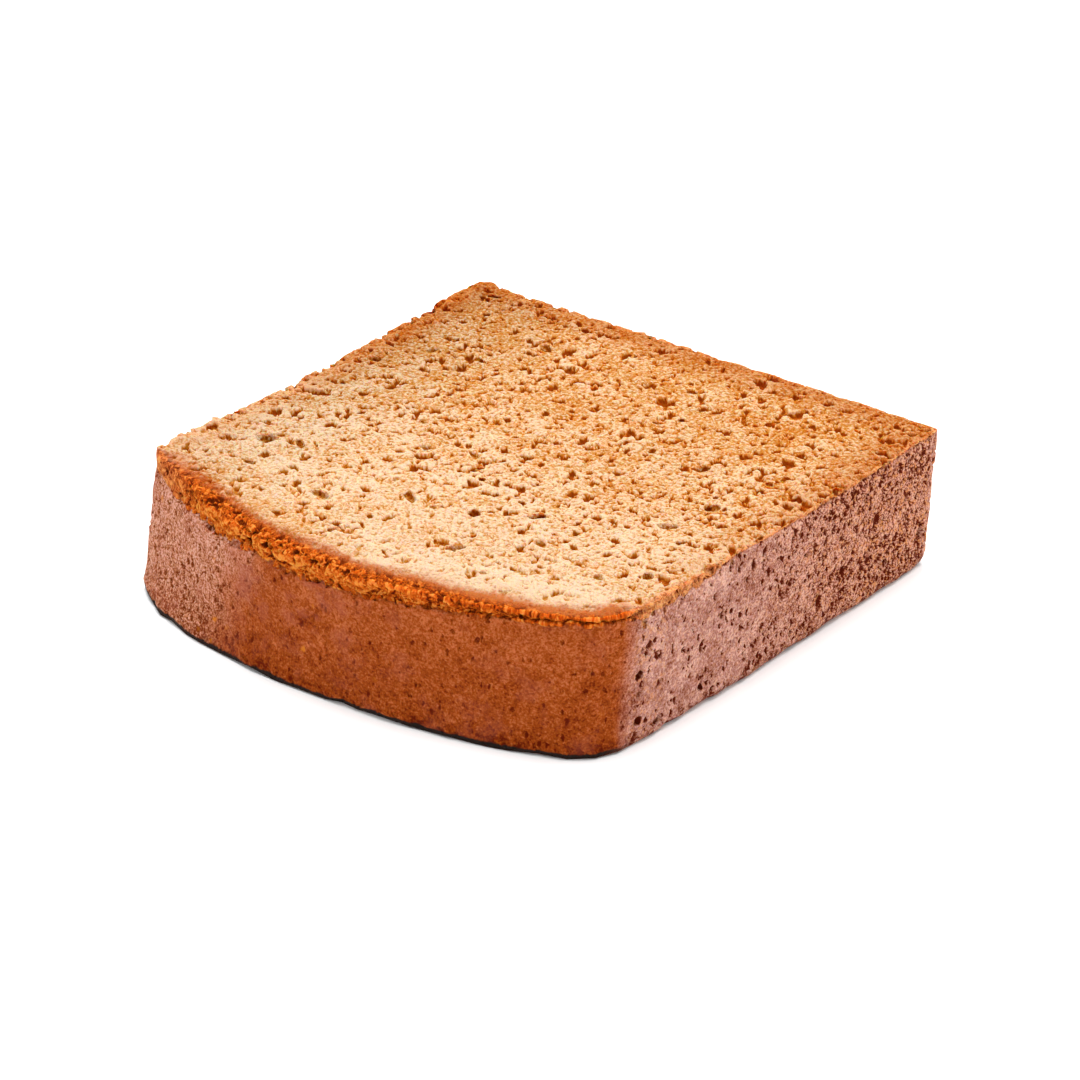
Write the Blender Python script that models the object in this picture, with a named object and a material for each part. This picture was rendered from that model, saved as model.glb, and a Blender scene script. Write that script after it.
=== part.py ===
"""A thick slice of banana bread, lying flat on one of its two cut faces.

The slice is one solid. Seen from above, the domed crown of the loaf points to -Y and its flat base
to +Y, and the sides that baked against the tin face -X and +X. The upper cut face is full of small
hollows. Along the crown the knife has torn the crust away from the crumb in a rough band.
"""

import math
import random
from dataclasses import dataclass

import bmesh
import bpy
from mathutils import Euler, Matrix, Vector, noise
from mathutils.geometry import interpolate_bezier

MM = 0.001

# The loaf and the slice.
WIDTH = 101 * MM
LOAF_HEIGHT = 100 * MM
THICKNESS = 26 * MM
CROWN_RISE = 12.9 * MM  # of the crown's peak over the pulled-out corner at -X
SHOULDER_RISE = 9.2 * MM  # of the same peak over the start of the rounded shoulder at +X
WAIST_IN = 2.2 * MM  # how far the side at -X is drawn in at its middle

# The edge of the cut face.
LIP_DROP = 1.1 * MM  # how far the crumb rolls over the crown's edge
LIP_WIDTH = 5 * MM
LIP_SHARE = 0.6  # of the drop that the first rows of the face already have
RIM_DROP = 0.12 * MM
RIM_SOFTNESS = 0.2  # how far the untorn edge is drawn in, against the torn one
CORNER_SOFTENING = 0.12
RAGGED_RIM = 0.9 * MM  # unevenness of the edge at -X
RAGGED_LENGTH = 2.2 * MM

# The torn band under the crown's edge, and the thin line of torn crust on the other sides.
BAND_WIDE = 4.7 * MM
BAND_NARROW = 1.4 * MM
BAND_STEADY = 0.42  # share of the crown along which the band keeps its full width
BAND_DEPTH = 1.0 * MM
SIDE_TEARING = 0.15  # how strongly the crust is torn on the other sides, against the crown
TEAR_FADE = 4  # points of the outline over which it changes
CORNER_CALM = 0.8  # share of the tearing and of the roll that is lost at the pulled-out corner
CORNER_POINTS = 9  # points of the outline over which they come back
BAND_ROUGHNESS = 0.7 * MM
BAND_GRAIN_LENGTH = 2.6 * MM
BAND_UNEVENNESS = 0.22  # of its width
EDGE_CALM = 0.35  # share of the roughness that is left at the band's two edges
BAND_WAVE = 0.45  # how fast the band's width changes along the outline's points
BAND_WAVE_START = 3.1  # where in the noise that change starts

# Unevenness of the walls and of the cut face.
WALL_SWELL = 0.5 * MM
WALL_SWELL_LENGTH = 15 * MM
WALL_GRAIN = 0.22 * MM
WALL_GRAIN_LENGTH = 5 * MM
FACE_SWELL = 0.35 * MM
FACE_SWELL_LENGTH = 19 * MM
FACE_GRAIN = 0.3 * MM
FACE_GRAIN_LENGTH = 4.5 * MM
# Raised flakes of the cut face: x, y, rise and reach, in mm.
FLAKES = (
    (-45.5, 47.5, 1.3, 4.5), (-40.0, 45.5, 0.5, 2.5), (-46.5, 38.0, 0.5, 3.0),
    (-46.0, 22.0, 0.5, 3.0), (-47.5, 1.0, 0.5, 3.0), (-47.0, -9.0, 0.6, 3.0),
    (-48.0, -24.0, 1.1, 3.2), (-48.4, -31.0, 1.6, 4.2),
    (-49.0, -36.0, 0.9, 3.5),
)

# How finely the surface is divided.
CROWN_STEPS = 38
SIDE_STEPS = 32
BEZIER_STEPS = 24

# Each row of the wall: how far down the torn band it lies, and its share of the band's depth.
BAND_ROWS = ((0.0, 1.0), (0.1, 0.3), (0.32, 0.4), (0.58, 1.0), (0.84, 0.85), (1.0, 0.0))
# Each row below the band: its share of the way down, and how far it is drawn in.
CRUST_ROWS = ((0.1, -0.15 * MM), (0.32, 0.0), (0.56, 0.0), (0.8, 0.0), (0.96, 0.0), (1.0, 0.2 * MM))

# Hollows. The large ones are x, y, length, width and turn of the length from +X in degrees.
LARGE_HOLLOWS = (
    (-22, 34, 3.2, 2.2, 150), (9, 35, 2.2, 1.8, 0), (22.5, 31.5, 4.2, 1.4, 125),
    (-37, 21, 2.6, 2.0, 60), (27, 13, 3.6, 2.4, 50), (39.5, 15, 2.2, 1.8, 0),
    (37, 2, 3.4, 2.4, 120), (35, -7, 4.2, 2.5, 20), (-31, -5.5, 2.0, 1.6, 90),
    (-14, -9, 3.0, 1.7, 10), (-6, -6, 3.2, 1.6, 150), (16, -17.5, 4.0, 2.6, 60),
    (-37.5, -22.5, 4.8, 2.8, 165), (-31.5, -21, 3.6, 1.7, 140), (-4.5, -25, 5.0, 2.0, 145),
    (7.5, -23, 3.0, 2.0, 140), (22.5, -25, 3.0, 2.0, 150), (42.5, -23, 3.0, 2.0, 130),
    (-34, -31, 3.0, 1.9, 170), (-17, -33, 4.6, 2.6, 160), (-16, -38, 4.8, 2.4, 5),
    (12, -34, 3.8, 2.4, 40), (36.5, -28, 2.6, 1.7, 150), (-7, -41.5, 2.2, 1.8, 60),
    (-42.5, 45.2, 3.6, 1.2, 10), (-44.5, 18.5, 3.0, 1.3, 165), (-42.5, 12, 2.6, 1.7, 30),
    (44, 12.5, 4.0, 0.9, 120),
)
SMALL_HOLLOW_TRIES = 40
SMALL_HOLLOW_SIZES = (1.5 * MM, 2.5 * MM)
HOLLOW_CLEARANCE = 0.5 * MM
SMALL_HOLLOW_WIDTH = 0.7  # over its length
HOLLOW_DEPTH = 0.62  # a hollow's depth over its width
HOLLOW_SINK = 0.1  # how far its middle lies below the face, over its depth
BAND_PIT_SIZES = (1.3 * MM, 2.3 * MM)
BAND_PIT_MOST = 0.6  # of the band's width
BAND_PIT_AXES = (0.65, 0.5, 0.42)  # half its length, depth and height, over its size
WALL_PIT_DEPTH = 0.55  # over its width
LUMPINESS = 0.44  # how far a hollow's wall strays from an even oval, as a share of its size
LUMP_GRAIN = 1.1  # lumps along one half axis
PIT_LEAN = 0.25  # radians
FINE_PIT = 1.8  # mm, the width over which a pit in the wall is more finely faceted
SEED = 11

# Pits in the wall at +X: distance along it from the shoulder, height, width and length, in mm.
SHOULDER_PITS = ((5.5, 22.3, 1.4, 2.4), (4.6, 17.6, 1.1, 2.0), (4.4, 13.2, 1.8, 2.4),
                 (5.6, 9.4, 1.2, 1.8), (4.8, 4.6, 1.7, 2.2))
WALL_PITS = ((12.5, 19.4, 1.3, 2.0), (12.0, 2.6, 2.2, 2.4), (20.8, 4.2, 1.7, 2.6),
             (29.5, 9.0, 1.0, 2.0), (40.5, 21.0, 1.2, 2.2), (47.5, 17.4, 2.0, 2.2),
             (46.0, 3.4, 1.4, 2.0), (59.5, 9.6, 1.4, 3.0), (64.0, 21.4, 1.4, 2.0),
             (72.5, 5.2, 2.0, 3.0), (78.5, 15.0, 1.5, 2.4), (83.5, 7.0, 3.4, 1.6))
RIM_BITES = ((22.5, 25.6, 3.0, 2.4), (26.5, 24.6, 1.3, 3.4), (35.0, 26.0, 2.2, 1.8),
             (55.5, 25.8, 2.6, 2.6), (57.5, 21.0, 1.6, 5.0))

CRUMB_COLOUR = (0.79, 0.45, 0.22, 1.0)
CRUST_COLOUR = (0.36, 0.12, 0.05, 1.0)
CRUMB_ROUGHNESS = 0.9
CRUST_ROUGHNESS = 0.6
CRUMB, CRUST = 0, 1  # material slots


@dataclass
class Knot:
    """A turning point of the outline, with its handles, on the upper and on the lower face."""

    top: Vector
    low: Vector
    arrive: Vector
    leave: Vector


def knot(x, y, low_x, low_y, arrive, leave):
    """A knot at x, y on the upper face, moved by low_x, low_y on the lower one. Handles are in mm."""
    top = Vector((x, y))
    shift = Vector((low_x, low_y)) * MM
    return Knot(top, top + shift, Vector(arrive) * MM, Vector(leave) * MM)


def outline_knots():
    """The outline's knots, anticlockwise from above, starting and ending at the pulled-out corner."""
    side, peak, base = WIDTH / 2, -LOAF_HEIGHT / 2, LOAF_HEIGHT / 2
    ear = knot(-side + 0.8 * MM, peak + CROWN_RISE, -1.5, -3.1, (1.5, 12.9), (15.6, -8.6))
    return [
        ear,
        knot(-3 * MM, peak, 1.0, -0.1, (-15.6, 0), (12, 0)),
        knot(side - 9 * MM, peak + SHOULDER_RISE, -1.5, -1.2, (-11.5, -5.2), (4, 1.8)),
        knot(side - 2.1 * MM, peak + 21.5 * MM, -1.4, 0.5, (-0.1, -6.5), (0.4, 10.5)),
        knot(side - 0.4 * MM, base - 0.5 * MM, -1.2, -0.9, (0.5, -29.5), (-30, -0.3)),
        knot(-side + 1.8 * MM, base - 1.0 * MM, -0.2, -0.4, (28.7, 1.3), (-1.3, -11)),
        knot(-side + WAIST_IN, 6 * MM, -1.0, 0.0, (0.4, 16), (-0.4, -16)),
        ear,
    ]


def smooth_line(knots, level):
    """A dense line through the knots, at a level from 0, the lower face, to 1, the upper face."""
    line = []
    for start, end in zip(knots, knots[1:]):
        a, b = start.low.lerp(start.top, level), end.low.lerp(end.top, level)
        line += interpolate_bezier(a, a + start.leave, b + end.arrive, b, BEZIER_STEPS)
    return line


def evenly(line, count):
    """The line's points at count + 1 even distances, ends included."""
    lengths = [0.0]
    for a, b in zip(line, line[1:]):
        lengths.append(lengths[-1] + (b - a).length)
    spaced, index = [], 0
    for step in range(count + 1):
        wanted = lengths[-1] * step / count
        while index < len(line) - 2 and lengths[index + 1] < wanted:
            index += 1
        gap = lengths[index + 1] - lengths[index]
        share = (wanted - lengths[index]) / gap if gap else 0.0
        spaced.append(line[index].lerp(line[index + 1], min(1.0, share)))
    return spaced


def ring(level):
    """The outline's points at one level: crown, +X side, base, -X side."""
    knots = outline_knots()
    front = evenly(smooth_line(knots[:5], level), CROWN_STEPS + SIDE_STEPS)
    base = evenly(smooth_line(knots[4:6], level), CROWN_STEPS)
    side = evenly(smooth_line(knots[5:], level), SIDE_STEPS)
    points = front[:-1] + base[:-1] + side[:-1]
    for corner in (0, CROWN_STEPS + SIDE_STEPS, 2 * CROWN_STEPS + SIDE_STEPS):
        middle = (points[corner - 1] + points[(corner + 1) % len(points)]) / 2
        points[corner] = points[corner].lerp(middle, CORNER_SOFTENING)
    return points


def eased(value):
    """0 below 0, 1 above 1, and a smooth rise between."""
    value = max(0.0, min(1.0, value))
    return value * value * (3 - 2 * value)


def tearing(index):
    """How strongly the crust is torn at a point of the ring, 1 on most of the crown."""
    count = 2 * (CROWN_STEPS + SIDE_STEPS)
    past_crown = min(max(0, index - CROWN_STEPS), count - index)
    torn = 1 - (1 - SIDE_TEARING) * eased(past_crown / TEAR_FADE)
    from_corner = min(index, count - index)
    return torn * (1 - CORNER_CALM * (1 - eased(from_corner / CORNER_POINTS)))


def band_width(index):
    """The width of the torn band below a point of the ring."""
    if index <= CROWN_STEPS:
        narrowing = eased((index / CROWN_STEPS - BAND_STEADY) / (1 - BAND_STEADY))
    else:
        narrowing = eased((2 * (CROWN_STEPS + SIDE_STEPS) - index) / TEAR_FADE)
    width = BAND_WIDE + (BAND_NARROW - BAND_WIDE) * narrowing
    return width * (1 + BAND_UNEVENNESS * noise.noise(Vector((index * BAND_WAVE, BAND_WAVE_START, 0.0))))


def ripple(point, height, length):
    """Noise of a height and a wavelength at a point."""
    return height * noise.noise(point.to_3d() / length)


def wall_relief(point):
    """How far the wall swells out at a point."""
    swell = ripple(point, WALL_SWELL, WALL_SWELL_LENGTH)
    return swell + ripple(point, WALL_GRAIN, WALL_GRAIN_LENGTH)


def face_height(point):
    """The height of the upper cut face over a point in the plan."""
    level = THICKNESS + ripple(point.to_2d(), FACE_SWELL, FACE_SWELL_LENGTH)
    for x, y, rise, reach in FLAKES:
        distance = (point.to_2d() - Vector((x, y)) * MM).length
        level += rise * MM * eased(1 - distance / (reach * MM))
    return level + ripple(point.to_2d(), FACE_GRAIN, FACE_GRAIN_LENGTH)


def wall_point(low, top, index, height):
    """A point of the plain wall, before any roughness, and the direction that faces out of it."""
    level = height / THICKNESS
    around = [low[i].lerp(top[i], level) for i in (index - 1, index, (index + 1) % len(top))]
    along = around[2] - around[0]
    return around[1].to_3d() + Vector((0, 0, height)), Vector((along.y, -along.x, 0)).normalized()


def rim_height(top, index):
    """The height of the upper face's edge at a point of the ring."""
    roll = tearing(index) * band_width(index) / BAND_WIDE
    return face_height(top[index]) - RIM_DROP - (LIP_DROP - RIM_DROP) * roll


def band_point(low, top, index, share, depth):
    """A point of the torn band, at a share of the way down it, and the direction out of it."""
    torn = tearing(index)
    height = rim_height(top, index) - band_width(index) * share
    point, out = wall_point(low, top, index, height)
    drawn_in = BAND_DEPTH * depth * max(torn, RIM_SOFTNESS if share == 0 else 0)
    roughness = BAND_ROUGHNESS * torn * (EDGE_CALM if share in (0, 1) else 1)
    rough = ripple(point, roughness, BAND_GRAIN_LENGTH)
    if share == 0 and index > 2 * CROWN_STEPS + SIDE_STEPS:
        rough += ripple(point, RAGGED_RIM, RAGGED_LENGTH)
    return point + out * (rough + wall_relief(point) - drawn_in), out


def crust_row(low, top, share, drawn_in):
    """A ring of the wall below the torn band, at a share of the way down to the lower face."""
    row = []
    for index in range(len(top)):
        height = (rim_height(top, index) - band_width(index)) * (1 - share)
        point, out = wall_point(low, top, index, height)
        row.append(point + out * (wall_relief(point) - drawn_in))
    return row


def wall_rows():
    """The rings of the wall, from the edge of the upper face down to the flat lower face."""
    low, top = ring(0), ring(1)
    torn = [[band_point(low, top, index, *row)[0] for index in range(len(top))] for row in BAND_ROWS]
    return torn + [crust_row(low, top, share, drawn_in) for share, drawn_in in CRUST_ROWS]


def blended(edge, across, along):
    """The point of the upper face that its edge gives, by step across and along the face (Coons)."""
    count = len(edge)
    u, v = across / CROWN_STEPS, along / SIDE_STEPS
    front, back = edge[across], edge[2 * CROWN_STEPS + SIDE_STEPS - across]
    right, left = edge[CROWN_STEPS + along], edge[(count - along) % count]
    corners = (edge[0] * (1 - u) * (1 - v) + edge[CROWN_STEPS] * u * (1 - v)
               + edge[CROWN_STEPS + SIDE_STEPS] * u * v
               + edge[2 * CROWN_STEPS + SIDE_STEPS] * (1 - u) * v)
    return front * (1 - v) + back * v + left * (1 - u) + right * u - corners


def add_upper_face(bm, edge_verts):
    """The upper cut face, a grid that meets the wall's top ring."""
    edge = [vert.co.copy() for vert in edge_verts]
    grid = {}
    for across in range(CROWN_STEPS + 1):
        grid[across, 0] = edge_verts[across]
        grid[across, SIDE_STEPS] = edge_verts[2 * CROWN_STEPS + SIDE_STEPS - across]
    for along in range(SIDE_STEPS + 1):
        grid[CROWN_STEPS, along] = edge_verts[CROWN_STEPS + along]
        grid[0, along] = edge_verts[(len(edge) - along) % len(edge)]
    for across in range(1, CROWN_STEPS):
        for along in range(1, SIDE_STEPS):
            point = blended(edge, across, along)
            point.z = face_height(point)
            lip = 1 - (point - edge[across]).length / LIP_WIDTH
            point.z -= LIP_DROP * LIP_SHARE * eased(lip)
            grid[across, along] = bm.verts.new(point)
    for across in range(CROWN_STEPS):
        for along in range(SIDE_STEPS):
            steps = ((across, along), (across + 1, along), (across + 1, along + 1), (across, along + 1))
            bm.faces.new([grid[step] for step in steps]).material_index = CRUMB


def slice_body():
    """The whole slice as one closed mesh, before its hollows are cut."""
    bm = bmesh.new()
    rings = [[bm.verts.new(point) for point in row] for row in wall_rows()]
    for row, (upper, lower) in enumerate(zip(rings, rings[1:])):
        for index in range(len(upper)):
            after = (index + 1) % len(upper)
            quad = (upper[index], lower[index], lower[after], upper[after])
            torn = row < len(BAND_ROWS) - 1
            bm.faces.new(quad).material_index = CRUMB if torn else CRUST
    add_upper_face(bm, rings[0])
    bm.faces.new(rings[-1][::-1]).material_index = CRUMB
    bmesh.ops.triangulate(bm, faces=[face for face in bm.faces if len(face.verts) == 4])
    mesh = bpy.data.meshes.new("banana_bread_slice")
    bm.to_mesh(mesh)
    bm.free()
    return mesh


def add_hollow(bm, centre, axes, turn, fineness, rng):
    """An uneven oval that will be cut out, with its half axes and its turn (radians, Euler)."""
    place = Matrix.LocRotScale(centre, Euler(turn), axes)
    made = bmesh.ops.create_icosphere(bm, subdivisions=fineness, radius=1)["verts"]
    offset = Vector((rng.uniform(-50, 50), rng.uniform(-50, 50), rng.uniform(-50, 50)))
    for vert in made:
        vert.co *= 1 + LUMPINESS * noise.noise(vert.co * LUMP_GRAIN + offset)
        vert.co = place @ vert.co


class Hollows:
    """Places hollows that keep clear of one another."""

    def __init__(self, rng):
        self.rng = rng
        self.bm = bmesh.new()
        self.placed = []

    def free(self, centre, reach):
        """Whether a hollow of this reach fits between those that are placed."""
        return all((centre - other).length > reach + taken + HOLLOW_CLEARANCE
                   for other, taken in self.placed)

    def add(self, centre, axes, turn, fineness=2):
        """Adds a hollow where there is room for it, and says whether there was."""
        reach = max(axes) * (1 + LUMPINESS / 2)
        if not self.free(centre, reach):
            return False
        self.placed.append((centre.copy(), reach))
        add_hollow(self.bm, centre, axes, turn, fineness, self.rng)
        return True

    def add_in_face(self, x, y, length, width, turn, fineness=2):
        """Adds a hollow that opens in the upper cut face. All but the turn are in metres."""
        depth = width * HOLLOW_DEPTH
        centre = Vector((x, y, 0))
        centre.z = face_height(centre) - depth * HOLLOW_SINK
        return self.add(centre, Vector((length / 2, width / 2, depth)), (0, 0, turn), fineness)


def cut_large_hollows(hollows):
    """The large hollows of the cut face, each where the loaf has it."""
    for x, y, length, width, turn in LARGE_HOLLOWS:
        hollows.add_in_face(x * MM, y * MM, length * MM, width * MM, math.radians(turn))


def cut_small_hollows(hollows):
    """Small hollows scattered over the rest of the cut face."""
    edge = [point.to_3d() for point in ring(1)]
    for _ in range(SMALL_HOLLOW_TRIES):
        across = hollows.rng.randint(3, CROWN_STEPS - 3)
        along = hollows.rng.randint(3, SIDE_STEPS - 2)
        place = blended(edge, across, along)
        size = hollows.rng.uniform(*SMALL_HOLLOW_SIZES)
        turn = hollows.rng.uniform(0, math.pi)
        hollows.add_in_face(place.x, place.y, size, size * SMALL_HOLLOW_WIDTH, turn, fineness=1)


def cut_band_pits(hollows):
    """Pits in the torn band, as large as the band is wide there."""
    low, top = ring(0), ring(1)
    for index in range(2, CROWN_STEPS - 3, 2):
        size = min(band_width(index) * BAND_PIT_MOST, hollows.rng.uniform(*BAND_PIT_SIZES))
        point, out = band_point(low, top, index, *hollows.rng.choice(BAND_ROWS[2:5]))
        turn = math.atan2(out.y, out.x) + math.pi / 2
        axes = Vector(BAND_PIT_AXES) * size
        hollows.add(point, axes, (0, 0, turn), fineness=1)


def cut_side_pits(hollows):
    """The pits of the wall at +X, longer upwards than they are wide, and the bites in its rim."""
    low, top = ring(0), ring(1)
    wall = top[CROWN_STEPS:CROWN_STEPS + SIDE_STEPS + 1]
    step = sum((b - a).length for a, b in zip(wall, wall[1:])) / SIDE_STEPS
    for along, height, width, length in SHOULDER_PITS + RIM_BITES + WALL_PITS:
        index = CROWN_STEPS + round(along * MM / step)
        point, out = wall_point(low, top, index, height * MM)
        turn = math.atan2(out.y, out.x) + math.pi / 2
        axes = Vector((width / 2, width * WALL_PIT_DEPTH, length / 2)) * MM
        fineness = 2 if width > FINE_PIT else 1
        hollows.add(point + out * wall_relief(point), axes, (0, PIT_LEAN, turn), fineness)


def hollow_cutter():
    """All the hollows as one mesh object, which takes no part in the model itself."""
    hollows = Hollows(random.Random(SEED))
    cut_large_hollows(hollows)
    cut_side_pits(hollows)
    cut_small_hollows(hollows)
    cut_band_pits(hollows)
    mesh = bpy.data.meshes.new("hollow_cutter")
    hollows.bm.to_mesh(mesh)
    hollows.bm.free()
    cutter = bpy.data.objects.new("hollow_cutter", mesh)
    cutter.hide_render = True
    cutter.display_type = "WIRE"
    bpy.context.scene.collection.objects.link(cutter)
    return cutter


def material(name, colour, roughness):
    """A plain Principled material."""
    made = bpy.data.materials.new(name)
    made.use_nodes = True
    shader = made.node_tree.nodes["Principled BSDF"]
    shader.inputs["Base Color"].default_value = colour
    shader.inputs["Roughness"].default_value = roughness
    return made


def clear_scene():
    """Removes everything that the scene holds."""
    for thing in list(bpy.data.objects):
        bpy.data.objects.remove(thing, do_unlink=True)


def main():
    clear_scene()
    mesh = slice_body()
    mesh.materials.append(material("banana_crumb", CRUMB_COLOUR, CRUMB_ROUGHNESS))
    mesh.materials.append(material("banana_crust", CRUST_COLOUR, CRUST_ROUGHNESS))
    whole = bpy.data.objects.new("banana_bread_slice", mesh)
    bpy.context.scene.collection.objects.link(whole)
    cutter = hollow_cutter()
    cut = whole.modifiers.new("hollows", "BOOLEAN")
    cut.operation = "DIFFERENCE"
    cut.object = cutter
    reach = [[f(vert.co[axis] for vert in mesh.vertices) for f in (min, max)] for axis in (0, 1)]
    centre = [sum(pair) / 2 for pair in reach]
    for thing in (whole, cutter):
        thing.data.transform(Matrix.Translation((-centre[0], -centre[1], 0)))


main()
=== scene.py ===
"""Banana bread slice: the looks of a thick slice that lies on one of its cut faces.

One closed piece is grown from the plain slice of the frame. It gets the open crumb of both cut
faces, the torn orange band under the crown's edge, and the pitted crust round the wall. The relief
and the colours come from the same functions, so each pore is dark where it is deep: shade painted
into its colour, with painted highlight on the raised parts.
"""

import math

import bpy
import numpy as np
from bpy.props import FloatProperty, FloatVectorProperty, IntProperty, PointerProperty
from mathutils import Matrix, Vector, kdtree


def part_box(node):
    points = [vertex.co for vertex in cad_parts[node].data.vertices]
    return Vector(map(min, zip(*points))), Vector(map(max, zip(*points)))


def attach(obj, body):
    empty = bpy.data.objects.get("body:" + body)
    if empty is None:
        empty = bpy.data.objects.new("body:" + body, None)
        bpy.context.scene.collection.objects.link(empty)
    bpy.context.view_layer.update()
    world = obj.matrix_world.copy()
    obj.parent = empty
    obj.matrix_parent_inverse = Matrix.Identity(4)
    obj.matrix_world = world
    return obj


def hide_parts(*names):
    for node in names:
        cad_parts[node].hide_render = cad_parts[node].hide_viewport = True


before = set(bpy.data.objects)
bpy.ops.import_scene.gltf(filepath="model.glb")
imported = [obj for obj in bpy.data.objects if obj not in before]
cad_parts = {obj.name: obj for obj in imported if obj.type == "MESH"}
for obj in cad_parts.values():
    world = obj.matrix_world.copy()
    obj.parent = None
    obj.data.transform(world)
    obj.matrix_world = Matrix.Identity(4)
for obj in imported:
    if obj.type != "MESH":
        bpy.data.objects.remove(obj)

bl_info = {
    "name": "Banana bread slice",
    "version": (1, 0, 0),
    "blender": (4, 5, 0),
    "location": "3D View > Sidebar > Bread",
    "description": "Bakes the crumb and the crust of a slice of banana bread",
    "category": "Add Mesh",
}

MM = 0.001
WIDTH = 101.0  # of the slice, in mm
SOLID = "banana_bread_slice"
LOW, HIGH = (np.array(corner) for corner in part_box(SOLID))
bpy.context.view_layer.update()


def linear(red, green, blue):
    """The linear colour of a screen colour given from 0 to 255."""
    shares = (channel / 255 for channel in (red, green, blue))
    return tuple(s / 12.92 if s <= 0.04045 else ((s + 0.055) / 1.055) ** 2.4 for s in shares)


def colour_setting(name, red, green, blue):
    """A colour that a user may change."""
    return FloatVectorProperty(
        name=name, description=f"Colour of the {name.lower()}", subtype="COLOR",
        min=0, max=1, default=linear(red, green, blue))


def length_setting(name, millimetres):
    """A length that a user may change."""
    return FloatProperty(
        name=name, description=f"{name}, in metres", unit="LENGTH", subtype="DISTANCE",
        precision=5, min=0, default=millimetres * MM)


class BreadShape(bpy.types.PropertyGroup):
    """Sizes of the slice's relief."""

    voxel: length_setting("Voxel size", 0.26)
    top: length_setting("Height of the cut face", 26.0)
    band_wide: length_setting("Width of the torn band at -X", 4.6)
    band_narrow: length_setting("Width of the torn band at +X", 1.6)
    side_tear: length_setting("Width of the torn line on the sides", 0.45)
    large_pore: length_setting("Depth of the large pores", 1.1)
    middle_pore: length_setting("Depth of the middling pores", 0.65)
    fine_pore: length_setting("Depth of the fine pores", 0.28)
    crust_pit: length_setting("Depth of the crust's pits", 0.7)
    most_triangles: IntProperty(
        name="Most triangles", description="The piece is thinned to this many", default=196000)


class BreadColours(bpy.types.PropertyGroup):
    """Colours of the crumb and the crust, each from its hollows to its raised parts; the darker
    colours in the hollows are painted shade.
    """

    # The crumb's colours run from a pore's bottom to its lightest tops; the darkening into the
    # pores is painted shade.
    crumb_deep: colour_setting("Bottom of a pore", 146, 60, 4)
    crumb_brown: colour_setting("Wall of a pore", 168, 91, 14)
    crumb_tan: colour_setting("Tan crumb", 180, 118, 48)
    crumb_pale: colour_setting("Pale crumb", 193, 147, 102)
    crumb_light: colour_setting("Lightest crumb", 208, 179, 148)
    rear: colour_setting("Tint of the crumb towards the base", 252, 245, 235)
    shade: colour_setting("Tint of the crumb towards -X", 231, 236, 240)
    toast: colour_setting("Tint of the crumb near the crust", 206, 118, 24)
    scorch: colour_setting("Tint of the crown's edge", 218, 170, 160)
    margin: colour_setting("Tint of the crumb near the other sides", 214, 158, 84)
    band_deep: colour_setting("Pits of the torn band", 96, 30, 3)
    band_orange: colour_setting("Torn band", 186, 82, 12)
    band_gold: colour_setting("Golden nodules", 214, 132, 54)
    crown_deep: colour_setting("Pits of the crown", 98, 24, 0)
    crown_brown: colour_setting("Crown crust", 148, 66, 13)
    crown_light: colour_setting("Light parts of the crown", 186, 102, 60)
    crown_gold: colour_setting("Golden spots of the crown", 196, 112, 30)
    # The crown's paler end: its mauve colours are painted sheen.
    left_deep: colour_setting("Pits of the crown's paler end", 112, 46, 12)
    left_brown_and_sheen: colour_setting("Crown's paler end", 178, 113, 80)
    left_light_and_sheen: colour_setting("Light parts of the crown's paler end", 210, 156, 138)
    # Mauve patches of painted sheen on the crown.
    mauve_sheen: colour_setting("Mauve patches of the crown", 158, 84, 64)
    tin_deep: colour_setting("Pits of the tin side", 88, 24, 6)
    tin_rust: colour_setting("Rims of the pits", 132, 72, 48)
    # The tin side's mauve is partly the crust's own colour and partly painted sheen.
    tin_brown_and_sheen: colour_setting("Crust against the tin", 172, 120, 107)
    tin_light_and_sheen: colour_setting("Light parts of the tin side", 214, 166, 148)
    tin_gold: colour_setting("Golden specks of the tin side", 202, 134, 82)
    tin_rear: colour_setting("Tint of the tin side towards the base", 253, 240, 224)
    rim_tan: colour_setting("Torn crust on the sides", 188, 113, 64)
    rim_light: colour_setting("Light parts of the torn crust on the sides", 216, 148, 94)
    # Near-black painted contact shadow along the crown's lower rim.
    foot: colour_setting("Painted shadow along the lower rim", 38, 28, 24)


class BreadStage(bpy.types.PropertyGroup):
    """The floor, the light and the camera."""

    azimuth: FloatProperty(
        name="Azimuth", description="Where the camera stands round the slice", subtype="ANGLE",
        default=math.radians(37.74))
    elevation: FloatProperty(
        name="Elevation", description="How high the camera stands", subtype="ANGLE",
        default=math.radians(27.78))
    distance: length_setting("Camera distance", 762)
    lens: FloatProperty(
        name="Lens", description="Focal length on a 36 mm sensor", unit="CAMERA", default=146.6)
    aim: FloatVectorProperty(
        name="Aim", description="Where the camera looks, on the floor", subtype="TRANSLATION",
        unit="LENGTH", default=(-8.0 * MM, 15.15 * MM, 0))
    daylight: FloatProperty(
        name="Daylight", description="Strength of the white surroundings", default=0.9)
    key: FloatProperty(
        name="Key light", description="Power of the softbox", unit="POWER", default=11)
    floor: colour_setting("Floor", 250, 250, 250)


NOISE_MIDDLE = 0.5  # of a noise from 0 to 1
PIT_SLOPE = 0.16  # width of a pit's slope over the size of its cell
CURD_SLOPE = (0.75, 0.1)  # from the cracks between the curds to their tops


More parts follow.
